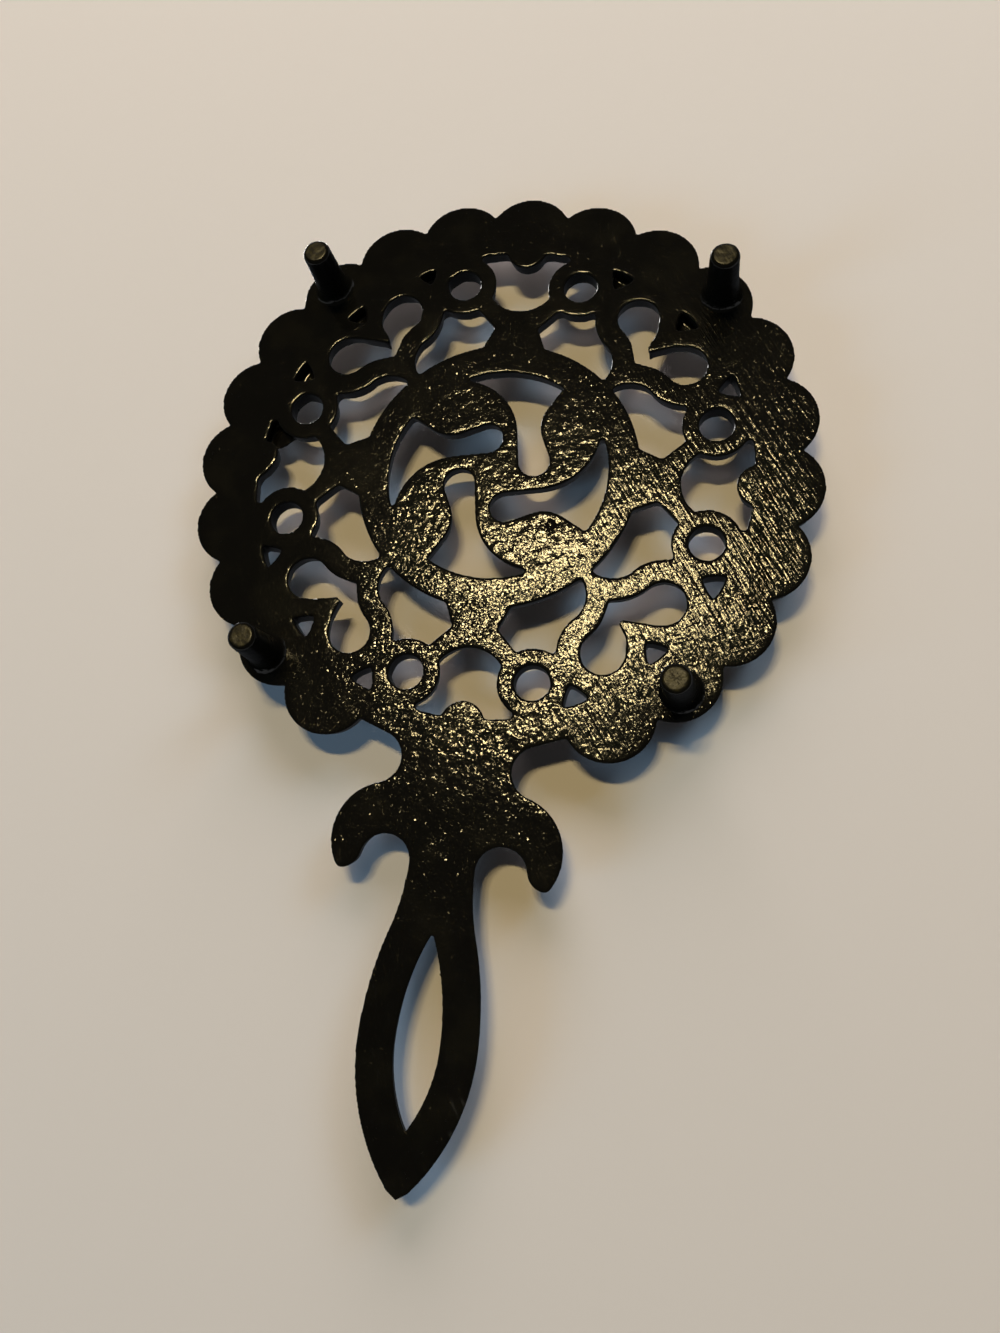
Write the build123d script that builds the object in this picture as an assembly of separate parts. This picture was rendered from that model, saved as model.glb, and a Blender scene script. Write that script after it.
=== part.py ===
from build123d import *
from math import acos, atan2, cos, degrees, radians, sin, sqrt
import os

# Cast iron trivet, standing on its four peg legs, in millimetres and degrees.
# X runs across the disc, Y from the handle's tip to the far rim, Z up.
# The origin is the middle of the whole footprint, on the surface that it stands on.
# Openings are drawn about the disc's middle, pointing along +X, and then turned into place.

# Casting
plate_thickness = 4.0
corner_radius = 0.7

# Scalloped rim: lobes on a pitch circle, three of them left out for the handle's root
lobe_count = 24
lobe_pitch_radius = 58.2
lobe_radius = 9.5
rim_band = 4.6
root_half_angle = 20.0

# Eyelets: round holes in pairs beside every axis, their walls sunk into the rim
eyelet_offset_angle = 16.2
eyelet_hole_radius = 3.65
eyelet_wall = 3.6
eyelet_sink = 0.65

# Crowns: one opening on each axis, lapped by the eyelets, with a bump that stands in from the rim
crown_lap = 2.14
crown_bump_radius = 4.6
crown_bump_rise = 3.6

# Hearts: one opening on each diagonal, with its point towards the hub and a spike from the rim
heart_setback = 8.1
heart_lobe_radius = 4.4
heart_lobe_spread = 7.9
heart_point_depth = 3.1
heart_spike_depth = 2.6
heart_spike_radius = 0.4
heart_wall = 5.1

# Flank openings between each spoke and the heart beside it
openwork_band = 23.1
spoke_length = 4.1
spoke_half_width = 4.9
spoke_heel_angle = 23.0
spoke_toe_angle = 44.0
strut_half_width = 1.4
strut_blend = 0.15

# Triangles in the rim, three to each diagonal
triangle_height = 4.6
triangle_half_width = 3.2
triangle_spacing_angle = 20.2

# Pinwheel in the hub: each of its four openings runs round a petal, an eye and a head, all circles
hub_band = 6.8
petal_setback = 9.95
petal_overrun = 2.85
petal_angle = -142.8
throat_gap = 1.6
eye_radius = 3.25
eye_angle = 15.0
nape_gap = 1.0
head_radius = 7.35
head_angle = -48.3
heel_angle = -59.5
whirl_tip_radius = 0.4

# Handle: neck, two horns, stem and a leaf-shaped grip with its hanging slot
neck_length = 4.9
neck_half_width = 11.4
neck_arc_radius = 5.2
root_slope_angle = 20.4
horn_outer_radius = 11.3
horn_center_offset = 12.0
horn_tip_angle = -37.0
horn_tip_radius = 1.6
gap_radius = 5.0
gap_drop = 4.2
gap_end_angle = 10.0
stem_half_width = 6.7
stem_arc_radius = 43.0
grip_length = 32.75
grip_half_width = 11.7
tip_length = 27.6
slot_half_width = 4.3
slot_upper_length = 20.1
slot_lower_length = 15.2

# Legs: round pegs under the lobes on the diagonals, chamfered at the tip and flared at the root
leg_height = 13.5
leg_outset = 3.8
leg_radius = 3.2
leg_tip_chamfer = 0.45
leg_flare = 1.2
leg_flare_height = 1.1

# Worked out from the sizes above, from the rim inwards and then out along the handle
axes = (0, 90, 180, 270)
diagonals = (45, 135, 225, 315)
rim_inner_radius = lobe_pitch_radius - rim_band
eyelet_boss_radius = eyelet_hole_radius + eyelet_wall
eyelet_ring_radius = rim_inner_radius - eyelet_boss_radius + eyelet_sink
heart_lobe_reach = rim_inner_radius - heart_setback
hub_radius = rim_inner_radius - openwork_band
whirl_radius = hub_radius - hub_band
petal_radius = whirl_radius - petal_setback
neck_reach = lobe_pitch_radius + neck_length
neck_center_offset = neck_half_width + neck_arc_radius
horn_reach = neck_reach + sqrt(
    (neck_arc_radius + horn_outer_radius) ** 2 - (neck_center_offset - horn_center_offset) ** 2
)
stem_reach = horn_reach + gap_drop
grip_reach = stem_reach + grip_length
tip_reach = grip_reach + tip_length
rim_reach = lobe_pitch_radius + lobe_radius
disc_y = (tip_reach - rim_reach) / 2


def polar(radius, angle):
    return Vector(radius * cos(radians(angle)), radius * sin(radians(angle)))


def turned(shape, angles):
    return [Rot(0, 0, angle) * shape for angle in angles]


def disc_at(center, radius):
    return Pos(center.X, center.Y) * Circle(radius)


def arc_at(center, radius, start_angle, end_angle):
    return CenterArc(center, radius, start_angle, end_angle - start_angle)


def face_of(*lines):
    return make_face(Curve() + list(lines))


def both_halves(plane, *lines):
    return face_of(*lines, *[mirror(line, about=plane) for line in lines])


def nearest(shape, point):
    return min(shape.vertices(), key=lambda v: (Vector(v) - point).length)


def eyelet_center(side):
    return polar(eyelet_ring_radius, side * eyelet_offset_angle)


def crown_opening():
    half_width = eyelet_center(1).Y
    arch = Pos(eyelet_ring_radius, 0) * Circle(half_width - eyelet_boss_radius + crown_lap)
    skirt_length = rim_inner_radius - eyelet_ring_radius
    skirt_center = eyelet_ring_radius + skirt_length / 2
    skirt = Pos(skirt_center, 0) * Rectangle(skirt_length, 2 * half_width)
    bump_center = rim_inner_radius - crown_bump_rise + crown_bump_radius
    bump = Pos(bump_center, 0) * Circle(crown_bump_radius)
    bosses = [disc_at(eyelet_center(side), eyelet_boss_radius) for side in (-1, 1)]
    opening = (arch + skirt) & Circle(rim_inner_radius)
    opening -= bosses + [bump]
    return fillet(opening.vertices(), corner_radius)


def heart_opening():
    lobe = Vector(heart_lobe_reach, heart_lobe_spread)
    lobe_front = lobe - Vector(heart_lobe_radius, 0)
    point = Vector(lobe_front.X - heart_point_depth, 0)
    spike = Vector(heart_lobe_reach - heart_spike_depth, 0)
    from_spike = lobe - spike
    spike_angle = degrees(atan2(-from_spike.Y, -from_spike.X))
    back_angle = spike_angle + degrees(acos(heart_lobe_radius / from_spike.length))
    opening = both_halves(
        Plane.XZ,
        TangentArc(lobe_front, point, tangent=(0, -1)),
        arc_at(lobe, heart_lobe_radius, 180, back_angle),
        Line(lobe + polar(heart_lobe_radius, back_angle), spike),
    )
    return fillet(nearest(opening, spike), heart_spike_radius)


def flank_opening():
    beside_heart = polar(heart_lobe_spread, -45)
    lobe_wall_radius = heart_lobe_radius + heart_wall
    bay_radius = heart_lobe_spread - strut_half_width
    bay_reach = heart_lobe_reach - lobe_wall_radius - bay_radius + strut_blend
    lobe = polar(heart_lobe_reach, 45) + beside_heart
    bay = polar(bay_reach, 45) + beside_heart
    boss = eyelet_center(1)
    spoke_tip = Vector(hub_radius + spoke_length, spoke_half_width)
    heel_way = polar(1, 180 - spoke_heel_angle)
    heel = spoke_tip - heel_way * heel_way.dot(spoke_tip)
    toe_way = polar(1, spoke_toe_angle)
    toe = spoke_tip + toe_way * toe_way.dot(boss - spoke_tip)
    field = make_face(Polyline(spoke_tip, toe, boss, lobe, bay, heel, close=True))
    field += disc_at(bay, bay_radius)
    walls = [Circle(hub_radius), disc_at(boss, eyelet_boss_radius), disc_at(lobe, lobe_wall_radius)]
    opening = field - walls
    blend_point = lobe - polar(lobe_wall_radius, 45)
    sharp = [v for v in opening.vertices() if (Vector(v) - blend_point).length > heart_lobe_radius]
    return fillet(sharp, corner_radius)


def triangle_opening():
    apex = (rim_inner_radius - triangle_height, 0)
    base_left = (rim_inner_radius, triangle_half_width)
    base_right = (rim_inner_radius, -triangle_half_width)
    return make_face(Polyline(apex, base_right, base_left, close=True))


def whirl_opening():
    throat_radii = petal_radius + eye_radius
    nape_radii = eye_radius + head_radius
    petal = polar(whirl_radius + petal_overrun - petal_radius, petal_angle)
    eye = petal + polar(throat_radii + throat_gap, eye_angle)
    head = eye + polar(nape_radii + nape_gap, head_angle)
    throat_angle = eye_angle - degrees(acos(throat_radii / (throat_radii + throat_gap)))
    nape_angle = head_angle + degrees(acos(nape_radii / (nape_radii + nape_gap)))
    petal_far = petal + polar(petal_radius, petal_angle)
    heel_start = head + polar(head_radius, heel_angle - 90)
    heel_end = heel_start + polar(2 * whirl_radius, heel_angle)
    outside = polar(2 * whirl_radius, (petal_angle + heel_angle) / 2)
    comma = face_of(
        arc_at(petal, petal_radius, petal_angle, throat_angle),
        Line(petal + polar(petal_radius, throat_angle), eye - polar(eye_radius, throat_angle)),
        arc_at(eye, eye_radius, throat_angle + 180, nape_angle),
        Line(eye + polar(eye_radius, nape_angle), head - polar(head_radius, nape_angle)),
        arc_at(head, head_radius, nape_angle + 180, heel_angle + 270),
        Line(heel_start, heel_end),
        Line(heel_end, outside),
        Line(outside, petal_far),
    )
    opening = comma & Circle(whirl_radius)
    ends = [v for v in opening.vertices() if abs(Vector(v).length - whirl_radius) < whirl_tip_radius / 10]
    return fillet(ends, whirl_tip_radius)


def handle_root():
    neck_center = Vector(neck_center_offset, -neck_reach)
    slope_start = neck_center + polar(neck_arc_radius, 90 + root_slope_angle)
    slope_way = polar(1, root_slope_angle)
    next_lobe = polar(lobe_pitch_radius, 2 * 360 / lobe_count - 90)
    slope_end = slope_start + slope_way * slope_way.dot(next_lobe - slope_start)
    return both_halves(
        Plane.YZ,
        Line((0, -neck_reach), (neck_half_width, -neck_reach)),
        arc_at(neck_center, neck_arc_radius, 180, 90 + root_slope_angle),
        Line(slope_start, slope_end),
        Line(slope_end, (0, 0)),
    )


def plate_outline():
    turns = [360 / lobe_count * i for i in range(lobe_count)]
    kept = [turn for turn in turns if root_half_angle < turn < 360 - root_half_angle]
    lobes = [disc_at(polar(lobe_pitch_radius, turn - 90), lobe_radius) for turn in kept]
    return Circle(lobe_pitch_radius) + lobes + handle_root()


def plate():
    flank = flank_opening()
    openings = turned(crown_opening(), axes)
    openings += turned(flank, axes)
    openings += turned(mirror(flank, about=Plane.XZ), axes)
    openings += turned(whirl_opening(), axes)
    openings += turned(heart_opening(), diagonals)
    for side in (-1, 1):
        openings += turned(disc_at(eyelet_center(side), eyelet_hole_radius), axes)
    for offset in (-triangle_spacing_angle, 0, triangle_spacing_angle):
        openings += turned(triangle_opening(), [angle + offset for angle in diagonals])
    return extrude(plate_outline() - openings, plate_thickness)


def handle_outline():
    neck_center = Vector(neck_center_offset, -neck_reach)
    horn_center = Vector(horn_center_offset, -horn_reach)
    gap_center = Vector(stem_half_width + gap_radius, -stem_reach)
    to_neck = neck_center - horn_center
    horn_start_angle = degrees(atan2(to_neck.Y, to_neck.X))
    horn_tip = horn_center + polar(horn_outer_radius, horn_tip_angle)
    gap_end = gap_center + polar(gap_radius, gap_end_angle)
    stem = Vector(stem_half_width, -stem_reach)
    grip = Vector(grip_half_width, -grip_reach)
    run = grip - stem
    flare = stem + run * (2 * stem_arc_radius * run.X / run.length ** 2)
    outline = both_halves(
        Plane.YZ,
        Line((0, -neck_reach), (neck_half_width, -neck_reach)),
        arc_at(neck_center, neck_arc_radius, 180, 180 + horn_start_angle),
        arc_at(horn_center, horn_outer_radius, horn_start_angle, horn_tip_angle),
        TangentArc(gap_end, horn_tip, tangent=polar(1, gap_end_angle - 90)),
        arc_at(gap_center, gap_radius, gap_end_angle, 180),
        TangentArc(stem, flare, tangent=(0, -1)),
        TangentArc(grip, flare, tangent=(0, 1)),
        TangentArc(grip, (0, -tip_reach), tangent=(0, -1)),
    )
    tips = [nearest(outline, tip) for tip in (horn_tip, Vector(-horn_tip.X, horn_tip.Y))]
    return fillet(tips, horn_tip_radius)


def hanging_slot():
    side = (slot_half_width, -grip_reach)
    return both_halves(
        Plane.YZ,
        TangentArc(side, (0, slot_upper_length - grip_reach), tangent=(0, 1)),
        TangentArc(side, (0, -slot_lower_length - grip_reach), tangent=(0, -1)),
    )


def handle():
    return extrude(handle_outline() - hanging_slot(), plate_thickness)


def leg():
    profile = Polyline(
        (0, 0),
        (leg_radius - leg_tip_chamfer, 0),
        (leg_radius, leg_tip_chamfer),
        (leg_radius, leg_height - leg_flare_height),
        (leg_radius + leg_flare, leg_height),
        (0, leg_height),
        close=True,
    )
    return revolve(Rot(90, 0, 0) * make_face(profile), Axis.Z)


disc_place = Pos(0, disc_y, leg_height)
nodes = {"plate": disc_place * plate(), "handle": disc_place * handle()}
leg_names = ("leg_far_right", "leg_far_left", "leg_near_left", "leg_near_right")
for name, angle in zip(leg_names, diagonals):
    spot = polar(lobe_pitch_radius + leg_outset, angle)
    nodes[name] = Pos(spot.X, disc_y + spot.Y, 0) * leg()

os.makedirs("parts", exist_ok=True)
for name, shape in nodes.items():
    export_step(shape, f"parts/{name}.step")
    print(name, round(shape.volume, 1), "mm3")
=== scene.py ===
import bmesh
import bpy
import numpy as np
from math import cos, radians, sin
from mathutils import Matrix, Vector


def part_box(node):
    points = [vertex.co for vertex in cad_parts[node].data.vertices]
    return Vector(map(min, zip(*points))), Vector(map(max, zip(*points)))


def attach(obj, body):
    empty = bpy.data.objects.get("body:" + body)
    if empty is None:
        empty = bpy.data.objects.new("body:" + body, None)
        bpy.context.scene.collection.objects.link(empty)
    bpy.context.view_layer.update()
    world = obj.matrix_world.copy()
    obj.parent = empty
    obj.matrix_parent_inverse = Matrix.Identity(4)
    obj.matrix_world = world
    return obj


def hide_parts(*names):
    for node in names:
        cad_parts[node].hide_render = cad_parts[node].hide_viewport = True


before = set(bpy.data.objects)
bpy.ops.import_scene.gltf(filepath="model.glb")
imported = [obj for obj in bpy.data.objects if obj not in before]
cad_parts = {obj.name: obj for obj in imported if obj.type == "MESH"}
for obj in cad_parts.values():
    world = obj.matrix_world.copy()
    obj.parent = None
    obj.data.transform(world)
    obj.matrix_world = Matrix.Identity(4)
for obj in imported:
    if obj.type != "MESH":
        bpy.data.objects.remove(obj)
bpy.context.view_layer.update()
scene = bpy.context.scene
scene.view_settings.view_transform = "Standard"
mm = 0.001
touching = 0.01 * mm  # two places nearer than this count as one

# Places that the other pieces are measured from, read off the frame
plateLow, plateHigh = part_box("plate")
handleLow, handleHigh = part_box("handle")
underZ, topZ = plateLow.z, plateHigh.z
rimRadius = (plateHigh.x - plateLow.x) / 2
disc = Vector((0, plateHigh.y - rimRadius, underZ))
gripTipY, neckY = handleLow.y, handleHigh.y
legNames = ("leg_far_right", "leg_far_left", "leg_near_left", "leg_near_right")
print("frame:", len(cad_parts), "nodes, disc middle at", [round(v / mm, 2) for v in disc])


class Wire:  # one socket of a node tree: arithmetic on it adds Math nodes
    def __init__(self, tree, socket=None):
        self.tree = tree
        self.socket = socket

    def node(self, kind, settings=None, inputs=None, output=0):
        made = self.tree.nodes.new(kind)
        for name, value in (settings or {}).items():
            setattr(made, name, value)
        for key, value in (inputs or {}).items():
            if isinstance(value, Wire):
                self.tree.links.new(value.socket, made.inputs[key])
            else:
                made.inputs[key].default_value = value
        return Wire(self.tree, made.outputs[output]) if made.outputs else made

    def math(self, operation, *values):
        return self.node("ShaderNodeMath", {"operation": operation}, dict(enumerate(values)))

    def __add__(self, other):
        return self.math("ADD", self, other)

    def __radd__(self, other):
        return self.math("ADD", other, self)

    def __sub__(self, other):
        return self.math("SUBTRACT", self, other)

    def __rsub__(self, other):
        return self.math("SUBTRACT", other, self)

    def __mul__(self, other):
        return self.math("MULTIPLY", self, other)

    def __rmul__(self, other):
        return self.math("MULTIPLY", other, self)

    def __truediv__(self, other):
        return self.math("DIVIDE", self, other)

    def __rtruediv__(self, other):
        return self.math("DIVIDE", other, self)

    def __pow__(self, other):
        return self.math("POWER", self, other)

    def smooth(self, low, high):  # 0 below low, 1 above high; turned round where low is the larger
        span = {"From Min": low, "From Max": high}
        return self.node("ShaderNodeMapRange", {"interpolation_type": "SMOOTHSTEP"}, {0: self, **span})

    def split(self):
        parts = self.node("ShaderNodeSeparateXYZ", None, {0: self}).socket.node
        return [Wire(self.tree, socket) for socket in parts.outputs]

    def vectorMath(self, operation, *values, output=0):
        return self.node("ShaderNodeVectorMath", {"operation": operation}, dict(enumerate(values)), output)

    def distance(self, place):
        return self.vectorMath("DISTANCE", self, tuple(place), output=1)

    def scaled(self, amount):  # a vector times a number
        return self.node("ShaderNodeVectorMath", {"operation": "SCALE"}, {0: self, "Scale": amount})

    def cells(self, size):  # distance from the middle of each cell, and the cell's own random colour
        near = self.node("ShaderNodeTexVoronoi", {"feature": "F1"}, {"Vector": self, "Scale": 1 / size})
        return near, Wire(self.tree, near.socket.node.outputs["Color"])

    def noise(self, size, detail=2.0, roughness=0.5, distortion=0.0):  # size of one grain in metres
        sockets = {"Vector": self, "Scale": 1 / size, "Detail": detail}
        sockets.update({"Roughness": roughness, "Distortion": distortion})
        return self.node("ShaderNodeTexNoise", None, sockets)

    def mixColour(self, base, over):  # this wire is the share of the second colour
        return self.node("ShaderNodeMix", {"data_type": "RGBA"}, {0: self, 6: base, 7: over}, 2)


def newMaterial(name):
    material = bpy.data.materials.new(name)
    material.use_nodes = True
    material.node_tree.nodes.clear()
    return material, Wire(material.node_tree)


def newTree(name, inputs):  # a Geometry Nodes tree and its wrapped inputs by name
    tree = bpy.data.node_groups.new(name, "GeometryNodeTree")
    tree.interface.new_socket("Geometry", in_out="INPUT", socket_type="NodeSocketGeometry")
    tree.interface.new_socket("Geometry", in_out="OUTPUT", socket_type="NodeSocketGeometry")
    kinds = {float: "NodeSocketFloat", int: "NodeSocketInt", tuple: "NodeSocketVector"}
    for label, value in inputs.items():
        tree.interface.new_socket(label, in_out="INPUT", socket_type=kinds[type(value)])
    source = tree.nodes.new("NodeGroupInput")
    return tree, {socket.name: Wire(tree, socket) for socket in source.outputs if socket.name}


def closeTree(geometry, material):
    whole = geometry.node("GeometryNodeRealizeInstances", None, {0: geometry})
    painted = geometry.node("GeometryNodeSetMaterial", None, {0: whole, "Material": material})
    geometry.node("NodeGroupOutput", None, {0: painted})


def addTree(piece, tree, inputs):
    modifier = piece.modifiers.new(tree.name, "NODES")
    modifier.node_group = tree
    for item in tree.interface.items_tree:
        if item.in_out == "INPUT" and item.name in inputs:
            modifier[item.identifier] = inputs[item.name]


def roughened(geometry, size, height):  # the surface moved in and out along its normals
    normal = geometry.node("GeometryNodeInputNormal")
    pebbles = geometry.node("GeometryNodeInputPosition").noise(size)
    offset = normal.scaled((pebbles - 0.5) * height * 2)
    return geometry.node("GeometryNodeSetPosition", None, {0: geometry, "Offset": offset})


def bakeModifiers(piece):  # the evaluated mesh becomes the piece's own and the modifiers go
    depsgraph = bpy.context.evaluated_depsgraph_get()
    mesh = bpy.data.meshes.new_from_object(piece.evaluated_get(depsgraph), depsgraph=depsgraph)
    piece.modifiers.clear()
    piece.data = mesh
    mesh.name = piece.name
    mesh.polygons.foreach_set("use_smooth", [True] * len(mesh.polygons))
    mesh.calc_loop_triangles()
    print(piece.name, len(mesh.loop_triangles), "triangles")


def newPiece(name, data):
    piece = bpy.data.objects.new(name, data)
    scene.collection.objects.link(piece)
    return piece


# Gloss black paint over sand-cast iron: leaning grains, domes, lumps and file strokes, heights in metres
paint = {
    "colour": (0.0025, 0.0023, 0.0018, 1),
    "thinColour": (0.0045, 0.004, 0.0025, 1),
    "thinShare": (0.45, 0.7),
    "specular": 0.34,
    "roughness": 0.11,
    "roughnessSpread": 0.06,
    "edgePolish": 0.06,
    "wallRoughness": 0.25,
    "blotchSize": 9 * mm,
    "grainSize": 0.38 * mm,
    "grainTilt": 0.13,
    "grainStray": 0.5,
    "strayRarity": 16,
    "domeSize": 0.58 * mm,
    "domeHeight": 0.044 * mm,
    "domeLeast": 0.25,
    "domeSpread": 1.1,
    "patchSize": 4.5 * mm,
    "patchShare": (0.36, 0.64),
    "patchLeast": 0.55,
    "patchSpread": 0.7,
    "lumpSize": 2.2 * mm,
    "lumpHeight": 0.07 * mm,
    "lumpTwist": 0.3,
    "lumpLeast": 0.4,
    "neckLumps": 1.8,
    "hubLumps": 1.4,
    "strokeAngle": 0.98,
    "strokeStretch": (14.0, 1.0, 1.0),
    "strokeSize": 0.8 * mm,
    "strokeHeight": 0.10 * mm,
    "strokeGrit": 0.6,
}
# Where the paint is calm or gritty: two places or slopes for each fade, and how much it takes or gives
zones = {
    "wallSlope": (0.6, 0.95),
    "edgeSlope": (0.008, 0.04),
    "edgeCalm": 0.9,
    "filedX": (-8 * mm, -30 * mm),
    "filedCalm": 0.5,
    "neckStart": (-14 * mm, -4 * mm),
    "neckEnd": (12 * mm, 2 * mm),
    "diagonal": -0.707,
    "grittyCorner": (-45 * mm, 18 * mm),
    "grittyLeast": 0.3,
    "gripY": (-24 * mm, -6 * mm),
    "gripGrit": 0.6,
    "farY": (60 * mm, 82 * mm),
    "farCalm": 0.6,
    "rightX": (12 * mm, 42 * mm),
    "rightCalm": 0.6,
    "hubReach": (30 * mm, 22 * mm),
    "hubGrit": 0.6,
    "hubCalm": 0.5,
}
# Feet with thin, worn paint, and rubbed spots on the grip as X, Y and reach
worn = {
    "tipColour": (0.006, 0.005, 0.003, 1),
    "tipWornColour": (0.024, 0.019, 0.006, 1),
    "tipRoughness": 0.28,
    "tipBelow": (0.28 * mm, 0.14 * mm),
    "speckleSize": 0.9 * mm,
    "speckleShare": (0.40, 0.68),
    "scuffColour": (0.030, 0.029, 0.026, 1),
    "scuffRoughness": 0.25,
    "scuffCore": 0.3,
    "scratchSize": 1.4 * mm,
    "scratchShare": (0.48, 0.72),
    "scuffs": (
        (-9.2 * mm, -88.0 * mm, 2.6 * mm),
        (-8.8 * mm, -93.2 * mm, 1.8 * mm),
        (2.0 * mm, -103.0 * mm, 2.2 * mm),
    ),
}


def gritMask(x, y, hub):  # strong towards the near left corner and in the hub, weak at the other rims
    least, grip = zones["grittyLeast"], zones["gripGrit"]
    grit = ((x + y - disc.y) * zones["diagonal"]).smooth(*zones["grittyCorner"]) * (1 - least) + least
    grit = grit * (y.smooth(*zones["gripY"]) * (1 - grip) + grip)
    grit = grit * (1.0 - y.smooth(*zones["farY"]) * zones["farCalm"])
    grit = grit * (1.0 - x.smooth(*zones["rightX"]) * zones["rightCalm"])
    return grit + hub * (1.0 - grit) * zones["hubGrit"]


def leaningGrains(place):  # flat grains that each lean their own way, a few of them far
    chance = place.cells(paint["grainSize"])[1]
    lean = chance.vectorMath("SUBTRACT", chance, (0.5, 0.5, 0.5))
    return lean.scaled(chance.split()[2] ** paint["strayRarity"] * paint["grainStray"] + paint["grainTilt"])


def lowDomes(place):  # rounded sand grains of unlike height, in patches
    near, colour = place.cells(paint["domeSize"])
    chance = colour.split()[0]
    patch = place.noise(paint["patchSize"]).smooth(*paint["patchShare"])
    unlike = paint["domeLeast"] + chance * chance * paint["domeSpread"]
    return (1.0 - near * near) * unlike * (paint["patchLeast"] + patch * paint["patchSpread"])


def scuffMask(place, along):
    scuffed = 0.0
    for scuffX, scuffY, reach in worn["scuffs"]:
        away = place.distance((scuffX, scuffY, underZ))
        scuffed = away.smooth(reach, reach * worn["scuffCore"]) + scuffed
    return scuffed * along.noise(worn["scratchSize"], detail=3.0).smooth(*worn["scratchShare"])


def paintMaterial():
    material, start = newMaterial("blackPaint")
    place = start.node("ShaderNodeTexCoord", output="Object")
    x, y, z = place.split()
    face = start.node("ShaderNodeNewGeometry", output="Normal")
    slope = 1.0 - start.math("ABSOLUTE", face.split()[2])
    wall = slope.smooth(*zones["wallSlope"])
    edge = slope.smooth(*zones["edgeSlope"])
    filed = x.smooth(*zones["filedX"])
    fromNeck = y - neckY
    neck = fromNeck.smooth(*zones["neckStart"]) * fromNeck.smooth(*zones["neckEnd"])
    hub = place.distance(disc).smooth(*zones["hubReach"])
    grit = gritMask(x, y, hub)
    calm = 1.0 - edge * zones["edgeCalm"]
    fine = grit * calm * (1.0 - filed * zones["filedCalm"]) * (1.0 - hub * zones["hubCalm"])
    grained = face.vectorMath("ADD", face, leaningGrains(place).scaled(fine))
    grained = face.vectorMath("NORMALIZE", grained)
    along = start.node("ShaderNodeMapping", {"vector_type": "TEXTURE"}, {
        "Vector": place, "Rotation": (0, 0, paint["strokeAngle"]), "Scale": paint["strokeStretch"],
    })
    swell = paint["lumpLeast"] + grit * (1 - paint["lumpLeast"])
    swell = swell + neck * paint["neckLumps"] + hub * paint["hubLumps"]
    lumps = place.noise(paint["lumpSize"], distortion=paint["lumpTwist"]) * swell
    strokes = along.noise(paint["strokeSize"], roughness=paint["strokeGrit"]) * filed * calm
    height = lowDomes(place) * fine * paint["domeHeight"]
    height = height + lumps * paint["lumpHeight"] + strokes * paint["strokeHeight"]
    bump = start.node("ShaderNodeBump", None, {
        "Strength": 1.0, "Distance": 1.0, "Height": height, "Normal": grained,
    })
    blotch = place.noise(paint["blotchSize"], detail=3.0)
    tip = z.smooth(*worn["tipBelow"])
    scuffed = scuffMask(place, along)
    speckle = place.noise(worn["speckleSize"], detail=3.0).smooth(*worn["speckleShare"])
    tipColour = speckle.mixColour(worn["tipColour"], worn["tipWornColour"])
    colour = blotch.smooth(*paint["thinShare"]).mixColour(paint["colour"], paint["thinColour"])
    colour = scuffed.mixColour(colour, worn["scuffColour"])
    colour = tip.mixColour(colour, tipColour)
    roughness = paint["roughness"] + (blotch - 0.5) * paint["roughnessSpread"] - edge * paint["edgePolish"]
    roughness = roughness + wall * paint["wallRoughness"] + tip * worn["tipRoughness"]
    roughness = roughness + scuffed * worn["scuffRoughness"]
    shader = start.node("ShaderNodeBsdfPrincipled", None, {
        "Base Color": colour, "Roughness": roughness, "Normal": bump, "IOR": 1.5,
        "Specular IOR Level": paint["specular"],
    })
    start.node("ShaderNodeOutputMaterial", None, {"Surface": shader})
    return material


blackPaint = paintMaterial()
print("material:", blackPaint.name)

# One unbroken cast skin for the disc and the handle. Diagonals in degrees, with 45 at the far right
skin = {
    "diagonals": (45, 135, 225, 315),
    "draft": 0.21,
    "wallSlope": 0.1,
    "sameWay": 0.9999,
    "mitreLeast": 0.6,
    "eyeletRing": 47.0 * mm,
    "eyeletTurn": 16.2,
    "eyeletReach": 4.2 * mm,
    "voxel": 0.34 * mm,
    "smoothing": 2,
    "smoothShare": 0.4,
    "rolling": 3,
    "kept": 0.32,
    "inputs": {"Pebble height": 0.03 * mm, "Pebble size": 1.9 * mm},
}
# Heart spikes: as cast they are longer, skewed, a little hollow and rounded
spike = {
    "tip": 42.9 * mm,
    "side": 7.06 * mm,
    "angle": radians(39.9),
    "reach": (5.0 * mm, 0.5 * mm),
    "stretch": {45: 1.7 * mm, 135: 1.8 * mm, 225: 1.1 * mm, 315: 0.9 * mm},
    "skew": {45: 1.2 * mm, 135: -0.2 * mm, 225: 1.0 * mm, 315: -0.3 * mm},
    "hollow": 0.2 * mm,
    "hollowReach": (2.6 * mm, 0.6 * mm),
    "round": 1.8 * mm,
    "roundMargin": 0.5 * mm,
}
# Rim triangles, three to a diagonal: steps to either side, some drawn in and some closed by flash
triangle = {
    "steps": (-1, 0, 1),
    "ring": 52.0 * mm,
    "turn": 20.2,
    "upright": 3.8 * mm,
    "reach": (6.2 * mm, 3.4 * mm),
    "draw": {(45, 0): 0.10, (45, 1): 0.22, (225, 0): 0.06},
    "corner": 0.30,
    "cornerFrom": 1.9 * mm,
    "cornerDepth": 2.0 * mm,
}
web = {
    "closed": ((45, -1), (45, 0), (45, 1), (135, -1), (135, 0)),
    "radius": 5.0 * mm,
    "depth": (0.2 * mm, 0.9 * mm),
    "crownCorner": (52.2 * mm, 45.2 * mm),
    "crownRadius": 6.0 * mm,
    "crownTurn": 76,
}
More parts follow.
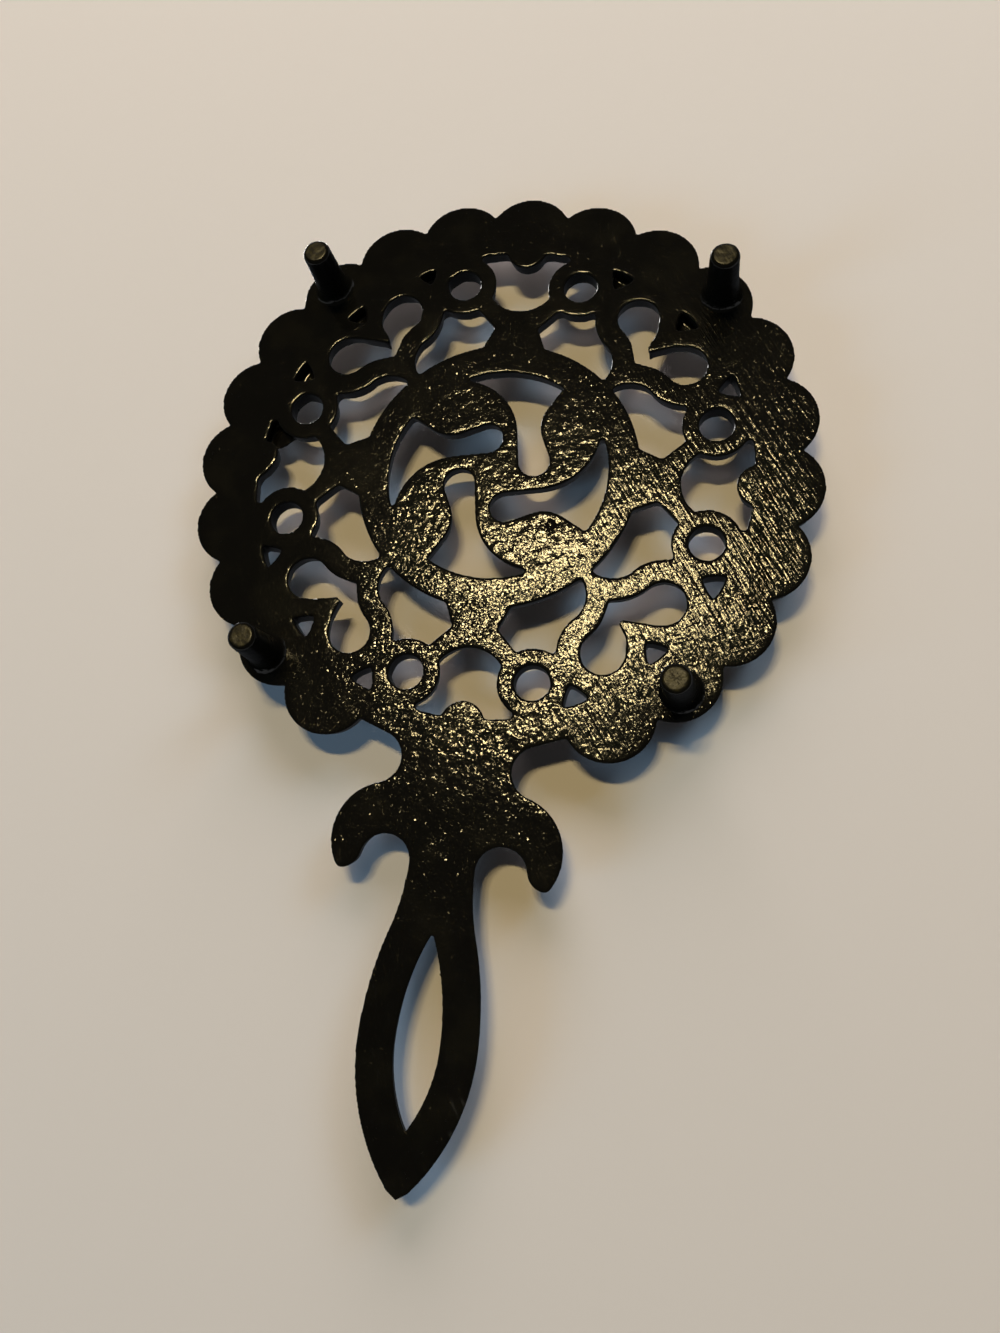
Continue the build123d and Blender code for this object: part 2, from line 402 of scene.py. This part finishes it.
# Single marks of this casting
mark = {
    "tongue": (52.0 * mm, 37.9 * mm),
    "tongueShift": 1.7 * mm,
    "tongueReach": (6.0 * mm, 1.5 * mm),
    "tipDraw": 0.8 * mm,
    "tipReach": 2.2 * mm,
    "pit": (-13.0 * mm, 26.6 * mm),
    "pitDepth": 0.24 * mm,
    "pitReach": (1.3 * mm, 0.3 * mm),
    "pitSide": 0.5 * mm,
}


def onRing(radius, degrees):
    turn = radians(degrees)
    return disc + Vector((cos(turn), sin(turn), 0)) * radius


def triangleCentre(diagonal, step):
    return onRing(triangle["ring"], diagonal + step * triangle["turn"])


def smallHoles():  # middles and reaches of the holes whose walls stay upright
    for quarter in range(4):
        for side in (-1, 1):
            yield onRing(skin["eyeletRing"], 90 * quarter + side * skin["eyeletTurn"]), skin["eyeletReach"]
    for diagonal in skin["diagonals"]:
        for step in triangle["steps"]:
            yield triangleCentre(diagonal, step), triangle["upright"]


def leanWalls(shell):  # mould draft: towards the pot face the walls lean into the iron
    holes = list(smallHoles())
    shell.normal_update()
    leans = {}
    for vert in shell.verts:
        sides = [face.normal for face in vert.link_faces if abs(face.normal.z) < skin["wallSlope"]]
        inHole = any((vert.co - centre).to_2d().length < reach for centre, reach in holes)
        if vert.co.z < topZ - touching or inHole or not sides:
            continue
        distinct = []
        for i, normal in enumerate(sides):
            if all(normal.dot(other) < skin["sameWay"] for other in sides[:i]):
                distinct.append(normal)
        outward = sum(distinct, Vector()).normalized()
        mitre = max(outward.dot(distinct[0]), skin["mitreLeast"])
        leans[vert] = outward * (-skin["draft"] * (topZ - underZ) / mitre)
    for vert, lean in leans.items():
        vert.co += lean


def addWebs(shell):  # three-sided plates of flash, just under the pot face
    near, far = web["depth"]
    crownCorner = Vector((*web["crownCorner"], 0))
    plates = [(crownCorner, web["crownRadius"], web["crownTurn"])]
    for diagonal, step in web["closed"]:
        turn = diagonal + step * triangle["turn"] + 90
        plates.append((triangleCentre(diagonal, step), web["radius"], turn))
    for centre, radius, turn in plates:
        place = Matrix.Translation((centre.x, centre.y, topZ - (near + far) / 2))
        bmesh.ops.create_cone(
            shell, cap_ends=True, segments=3, radius1=radius, radius2=radius, depth=far - near,
            matrix=place @ Matrix.Rotation(radians(turn), 4, "Z"),
        )


def castBlank():
    shell = bmesh.new()
    for name in ("plate", "handle"):
        shell.from_mesh(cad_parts[name].data)
    bmesh.ops.remove_doubles(shell, verts=shell.verts, dist=touching / 10)
    inside = [f for f in shell.faces if all(abs(v.co.y - neckY) < touching for v in f.verts)]
    bmesh.ops.delete(shell, geom=inside, context="FACES")
    leanWalls(shell)
    addWebs(shell)
    mesh = bpy.data.meshes.new("castSkin")
    shell.to_mesh(mesh)
    shell.free()
    return newPiece("castSkin", mesh)


def fadeOut(far, near, values):  # 1 at near and closer, 0 at far and beyond
    share = np.clip((values - far) / (near - far), 0, 1)
    return share * share * (3 - 2 * share)


def away(flat, place):
    return np.linalg.norm(flat - np.array(place), axis=1)


def spikeFrame(flat, diagonal):  # the spike's two directions, and each point's place along them
    turn = radians(diagonal)
    outward = np.array((cos(turn), sin(turn)))
    across = np.array((-sin(turn), cos(turn)))
    fromDisc = flat - np.array(disc[:2])
    return outward, across, fromDisc @ outward - spike["tip"], fromDisc @ across


def stretchSpike(flat, diagonal):
    outward, across, radial, sideways = spikeFrame(flat, diagonal)
    nearTip = fadeOut(*spike["reach"], np.hypot(radial, sideways))
    flat += nearTip[:, None] * (across * spike["skew"][diagonal] - outward * spike["stretch"][diagonal])
    lean = spike["angle"]
    for hand in (-1, 1):
        along = radial * cos(lean) + hand * sideways * sin(lean)
        off = hand * sideways * cos(lean) - radial * sin(lean)
        hollow = np.sin(np.pi * np.clip(along / spike["side"], 0, 1))
        shift = spike["hollow"] * hollow * fadeOut(*spike["hollowReach"], np.abs(off))
        flat += shift[:, None] * (outward * sin(lean) - hand * across * cos(lean))


def roundSpike(flat, diagonal):
    outward, across, radial, sideways = spikeFrame(flat, diagonal)
    setBack = spike["round"] / sin(spike["angle"])
    radial = radial + spike["stretch"][diagonal] - setBack
    sideways = sideways - spike["skew"][diagonal]
    reach = np.maximum(np.hypot(radial, sideways), touching / 10)
    inWedge = (-radial > reach * sin(spike["angle"])) & (reach < setBack + spike["roundMargin"])
    over = np.where(inWedge, np.maximum(reach - spike["round"], 0), 0) / reach
    flat -= (over * radial)[:, None] * outward + (over * sideways)[:, None] * across


def drawTriangles(flat, diagonal):
    for step in triangle["steps"]:
        centre = triangleCentre(diagonal, step)[:2]
        reach = away(flat, centre)
        past = np.clip(reach - triangle["cornerFrom"], 0, triangle["cornerDepth"])
        draw = triangle["draw"].get((diagonal, step), 0.0)
        draw = draw + triangle["corner"] * past / np.maximum(reach, touching / 10)
        flat -= (flat - np.array(centre)) * (draw * fadeOut(*triangle["reach"], reach))[:, None]


def bendForms(mesh):  # spikes, triangles and the single marks, moved on the finished voxel mesh
    points = np.empty(len(mesh.vertices) * 3)
    mesh.vertices.foreach_get("co", points)
    points = points.reshape(-1, 3)
    flat = points[:, :2]
    for diagonal in skin["diagonals"]:
        stretchSpike(flat, diagonal)
        roundSpike(flat, diagonal)
        drawTriangles(flat, diagonal)
    points[:, 1] += mark["tongueShift"] * fadeOut(*mark["tongueReach"], away(flat, mark["tongue"]))
    points[:, 1] += mark["tipDraw"] * np.clip(1 - (points[:, 1] - gripTipY) / mark["tipReach"], 0, 1)
    under = points[:, 2] < underZ + mark["pitSide"]
    points[:, 2] += mark["pitDepth"] * fadeOut(*mark["pitReach"], away(flat, mark["pit"])) * under
    mesh.vertices.foreach_set("co", points.ravel())
    mesh.update()


def skinTree():
    tree, given = newTree("castSurface", skin["inputs"])
    closeTree(roughened(given["Geometry"], given["Pebble size"], given["Pebble height"]), blackPaint)
    return tree


castSkin = castBlank()
remesh = castSkin.modifiers.new("voxels", "REMESH")
remesh.mode = "VOXEL"
remesh.voxel_size = skin["voxel"]
rounding = castSkin.modifiers.new("rounding", "SMOOTH")
rounding.factor = skin["smoothShare"]
rounding.iterations = skin["smoothing"]
rolling = castSkin.modifiers.new("rolled edges", "SMOOTH")
rolling.use_x = False
rolling.use_y = False
rolling.iterations = skin["rolling"]
bakeModifiers(castSkin)
bendForms(castSkin.data)
addTree(castSkin, skinTree(), skin["inputs"])
thinning = castSkin.modifiers.new("thinning", "DECIMATE")
thinning.ratio = skin["kept"]
bakeModifiers(castSkin)
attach(castSkin, "root")
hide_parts("plate", "handle")

# Nibs of sand and paint that stand up from the flats, most of them small
nib = {
    "flatFacing": 0.97,
    "rarity": 2.5,
    "inputs": {
        "Density": 1.0e5,
        "Least radius": 0.10 * mm,
        "Most radius": 0.34 * mm,
        "Flatness": 0.45,
        "Seed": 11,
    },
}


def nibTree():
    tree, given = newTree("paintNibs", nib["inputs"])
    start = given["Geometry"]
    facing = start.math("ABSOLUTE", start.node("GeometryNodeInputNormal").split()[2])
    spots = start.node("GeometryNodeDistributePointsOnFaces", None, {
        "Mesh": start, "Selection": start.math("GREATER_THAN", facing, nib["flatFacing"]),
        "Density": given["Density"], "Seed": given["Seed"],
    })
    grain = start.node("GeometryNodeMeshIcoSphere", None, {"Radius": 1.0, "Subdivisions": 1})
    chance = start.node("FunctionNodeRandomValue", {"data_type": "FLOAT"}, {"Seed": given["Seed"]}, 1)
    spread = given["Most radius"] - given["Least radius"]
    radius = given["Least radius"] + spread * chance ** nib["rarity"]
    size = start.node("ShaderNodeCombineXYZ", None, {0: radius, 1: radius, 2: radius * given["Flatness"]})
    nibs = start.node("GeometryNodeInstanceOnPoints", None, {
        "Points": spots, "Instance": grain, "Scale": size,
    })
    closeTree(nibs, blackPaint)
    return tree


nibs = newPiece("paintNibs", castSkin.data.copy())
addTree(nibs, nibTree(), nib["inputs"])
bakeModifiers(nibs)
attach(nibs, "root")

# Four peg legs, each a drum of rings that a tree draws in to the cast form
peg = {
    "sides": 72,
    "rings": 60,
    "tipRings": 12,
    "lift": 0.12 * mm,
    "inputs": {
        "Height": 13.8 * mm,
        "Tip radius": 3.0 * mm,
        "Root radius": 3.45 * mm,
        "Tip round": 0.9 * mm,
        "Root flare": 1.5 * mm,
        "Flare height": 1.3 * mm,
        "Grit height": 0.10 * mm,
        "Grit size": 1.6 * mm,
        "Foot": (0.0, 0.0, 0.0),
        "Lean": (0.0, 0.0, 0.0),
    },
    "strays": {"leg_near_left": Vector((1.1 * mm, -0.3 * mm, 0.0))},
    "leans": {"leg_near_left": (1.2 * mm, -0.9 * mm, 0.0)},
}


def pegTree():
    tree, given = newTree("pegLeg", peg["inputs"])
    start = given["Geometry"]
    drum = start.node("GeometryNodeMeshCylinder", {"fill_type": "TRIANGLE_FAN"}, {
        "Vertices": peg["sides"], "Side Segments": peg["rings"], "Fill Segments": peg["tipRings"],
        "Radius": 1.0, "Depth": 1.0,
    })
    x, y, z = start.node("GeometryNodeInputPosition").split()
    share = z + 0.5
    up = share * given["Height"]
    down = given["Height"] - up
    shaft = given["Tip radius"] + (given["Root radius"] - given["Tip radius"]) * share
    flare = given["Root flare"] * start.math("EXPONENT", down / given["Flare height"] * -1.0)
    inTip = start.math("MAXIMUM", 1.0 - up / given["Tip round"], 0.0)
    tipLoss = given["Tip round"] * (1.0 - start.math("SQRT", 1.0 - inTip * inTip))
    radius = shaft + flare - tipLoss
    ring = start.node("ShaderNodeCombineXYZ", None, {0: x * radius, 1: y * radius, 2: up})
    shaped = start.node("GeometryNodeSetPosition", None, {0: drum, "Position": ring})
    lean = given["Lean"].scaled(1.0 - z / given["Height"])  # full at the foot, none at the root
    leant = start.node("GeometryNodeSetPosition", None, {0: shaped, "Offset": lean})
    placed = start.node("GeometryNodeTransform", None, {0: leant, "Translation": given["Foot"]})
    closeTree(roughened(placed, given["Grit size"], given["Grit height"]), blackPaint)
    return tree


pegs = pegTree()
for name in legNames:
    low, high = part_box(name)
    foot = Vector(((low.x + high.x) / 2, (low.y + high.y) / 2, peg["lift"]))
    foot += peg["strays"].get(name, Vector())
    lean = peg["leans"].get(name, peg["inputs"]["Lean"])
    leg = newPiece("cast_" + name, bpy.data.meshes.new(name))
    addTree(leg, pegs, {**peg["inputs"], "Foot": tuple(foot), "Lean": lean})
    bakeModifiers(leg)
    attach(leg, "root")
    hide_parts(name)

# Stage: a pale sheet behind the upturned piece and a pale floor under the standing one
stage = {
    "sheetColour": (0.70, 0.66, 0.645, 1),
    "floorColour": (0.70, 0.68, 0.64, 1),
    "sheetSize": 3.0,
    "floorSize": 12.0,
    "sheetGap": 4.6 * mm,
}


def oneSided(name, colour):
    material, start = newMaterial(name)
    front = start.node("ShaderNodeBsdfDiffuse", None, {"Color": colour})
    clear = start.node("ShaderNodeBsdfTransparent")
    behind = start.node("ShaderNodeNewGeometry", output="Backfacing")
    shader = start.node("ShaderNodeMixShader", None, {0: behind, 1: front, 2: clear})
    start.node("ShaderNodeOutputMaterial", None, {"Surface": shader})
    return material


def stagePlane(name, size, matrix, colour):
    half = size / 2
    corners = [(-half, -half, 0), (half, -half, 0), (half, half, 0), (-half, half, 0)]
    mesh = bpy.data.meshes.new(name)
    mesh.from_pydata([matrix @ Vector(corner) for corner in corners], [], [(0, 1, 2, 3)])
    mesh.materials.append(oneSided(name + "Paint", colour))
    plane = newPiece(name, mesh)
    plane.visible_shadow = False
    plane.visible_diffuse = False
    plane.visible_glossy = False
    plane.visible_transmission = False


turnOver = Matrix.Rotation(radians(180), 4, "X")
sheetPlace = Matrix.Translation((0, plateHigh.y, topZ + stage["sheetGap"]))
stagePlane("backSheet", stage["sheetSize"], sheetPlace @ turnOver, stage["sheetColour"])
stagePlane("floor", stage["floorSize"], Matrix.Identity(4), stage["floorColour"])

# Light: warm bulbs and soft lamps below for the upturned piece, a soft lamp above for the standing one
lamps = {
    "softFar": {
        "place": (0.10, 1.24, -0.49), "size": 1.2, "power": 16.5, "colour": (1.0, 0.89, 0.84),
        "mirrored": False,
    },
    "coolSide": {
        "place": (-0.75, 0.93, -0.78), "size": 0.6, "power": 5.2, "colour": (0.55, 0.78, 1.0),
        "mirrored": False,
    },
    "coolBack": {
        "place": (1.05, -0.70, -0.57), "size": 0.6, "power": 6.2, "colour": (0.36, 0.67, 1.0),
        "mirrored": False,
    },
    "softTop": {
        "place": (0.75, 1.00, 0.92), "size": 0.7, "power": 13.0, "colour": (1.0, 0.98, 0.95),
        "mirrored": True,
    },
}
bulbs = {
    "count": 3,
    "middle": Vector((0.222, 0.605, -1.880)),
    "spacing": 0.17,
    "lamp": {"size": 0.12, "power": 5.8, "colour": (1.0, 0.79, 0.385), "mirrored": True},
}
# The room's own light, with other colours where gloss mirrors it, and heights as sines of elevation
room = {
    "below": (0.02, 0.02, 0.022, 1),
    "above": (0.42, 0.42, 0.42, 1),
    "glossBelow": (0.05, 0.045, 0.035, 1),
    "glossZenith": (0.04, 0.042, 0.046, 1),
    "horizon": (-0.13, -0.05),
    "zenith": (0.30, 0.55),
}


def addLamp(name, place, size, power, colour, mirrored):
    data = bpy.data.lights.new(name, "AREA")
    data.shape = "DISK"
    data.size = size
    data.energy = power
    data.color = colour
    lamp = newPiece(name, data)
    lamp.location = place
    lamp.rotation_mode = "QUATERNION"
    lamp.rotation_quaternion = (disc - lamp.location).to_track_quat("-Z", "Y")
    lamp.visible_glossy = mirrored


for name, values in lamps.items():
    addLamp(name, **values)
for i in range(bulbs["count"]):
    along = (i - (bulbs["count"] - 1) / 2) * bulbs["spacing"]
    addLamp(f"warmBulb{i}", bulbs["middle"] + Vector((along, 0, 0)), **bulbs["lamp"])

world = bpy.data.worlds.new("room")
scene.world = world
world.use_nodes = True
world.node_tree.nodes.clear()
sky = Wire(world.node_tree)
height = sky.node("ShaderNodeTexCoord", output="Generated").split()[2]
glossy = sky.node("ShaderNodeLightPath", output="Is Glossy Ray")
below = glossy.mixColour(room["below"], room["glossBelow"])
above = (glossy * height.smooth(*room["zenith"])).mixColour(room["above"], room["glossZenith"])
light = height.smooth(*room["horizon"]).mixColour(below, above)
glow = sky.node("ShaderNodeBackground", None, {"Color": light, "Strength": 1.0})
sky.node("ShaderNodeOutputWorld", None, {"Surface": glow})

# Camera at the photograph's angle, under the standing piece and looking up
view = {
    "place": (-43.95 * mm, -51.13 * mm, -179.42 * mm),
    "right": Vector((-0.97887, 0.12701, 0.16026)),
    "up": Vector((0.08429, 0.96465, -0.24967)),
    "lens": 27.007,
    "sensor": 36.0,
    "nearest": 5 * mm,
}
cameraData = bpy.data.cameras.new("camera")
cameraData.lens = view["lens"]
cameraData.sensor_width = view["sensor"]
cameraData.clip_start = view["nearest"]
camera = newPiece("camera", cameraData)
back = view["right"].cross(view["up"])
turn = Matrix((view["right"], view["up"], back)).transposed().to_4x4()
camera.matrix_world = Matrix.Translation(view["place"]) @ turn
scene.camera = camera
print("stage, light and camera set")
